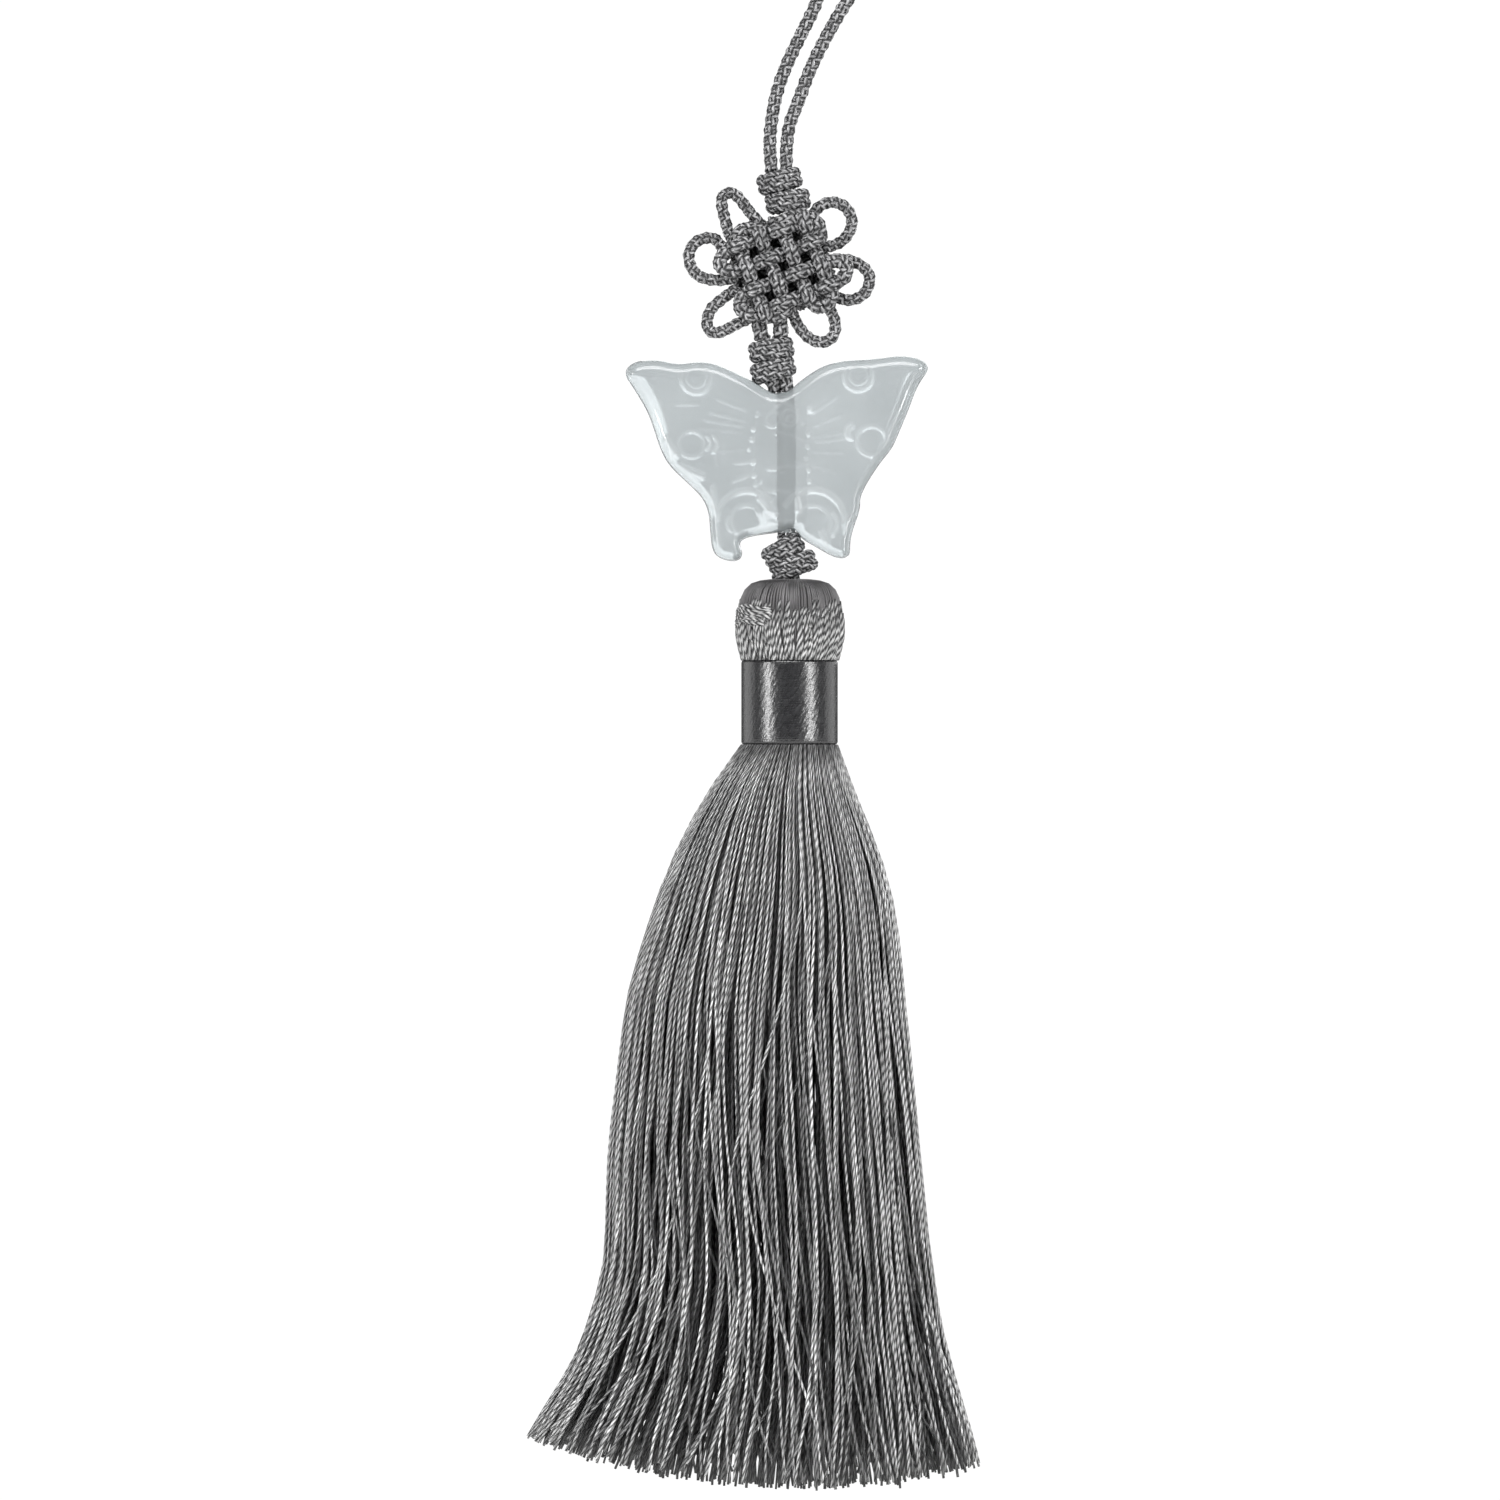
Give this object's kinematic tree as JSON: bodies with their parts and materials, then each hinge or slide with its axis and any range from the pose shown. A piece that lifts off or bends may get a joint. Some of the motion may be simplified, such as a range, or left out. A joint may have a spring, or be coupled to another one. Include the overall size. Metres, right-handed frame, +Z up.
{
  "type": "norigae tassel",
  "caption": "Korean norigae ornament: a doubled cord loop, flower knot, butterfly bead of pale glass and a long grey silk tassel with a wound head and band.",
  "frame": {"origin": "under the cord at the top of the hanging loop, where it bears on what it hangs from", "axes": "+Z up along the ornament's length, X across the butterfly's wings, -Y towards the viewer at the front face"},
  "size_m": [0.0728, 0.0494, 0.2781],
  "materials": {
    "cord_silk": "braided silk cord in light and dark grey",
    "bead_glass": "polished, pale blue-grey and cloudy",
    "head_silk": "wound two-ply thread",
    "band_silk": "smooth satin winding",
    "skirt_silk": "two-ply silk strands, silver grey"
  },
  "bodies": {
    "root": {"hanging_cord": "cord_silk", "upper_knot": "cord_silk", "flower_knot": "cord_silk", "lower_knot": "cord_silk", "bead_cord": "cord_silk", "end_knot": "cord_silk", "butterfly_bead": "bead_glass", "tassel_head": "head_silk", "tassel_band": "band_silk", "tassel_skirt": "skirt_silk"}
  },
  "joints": []
}
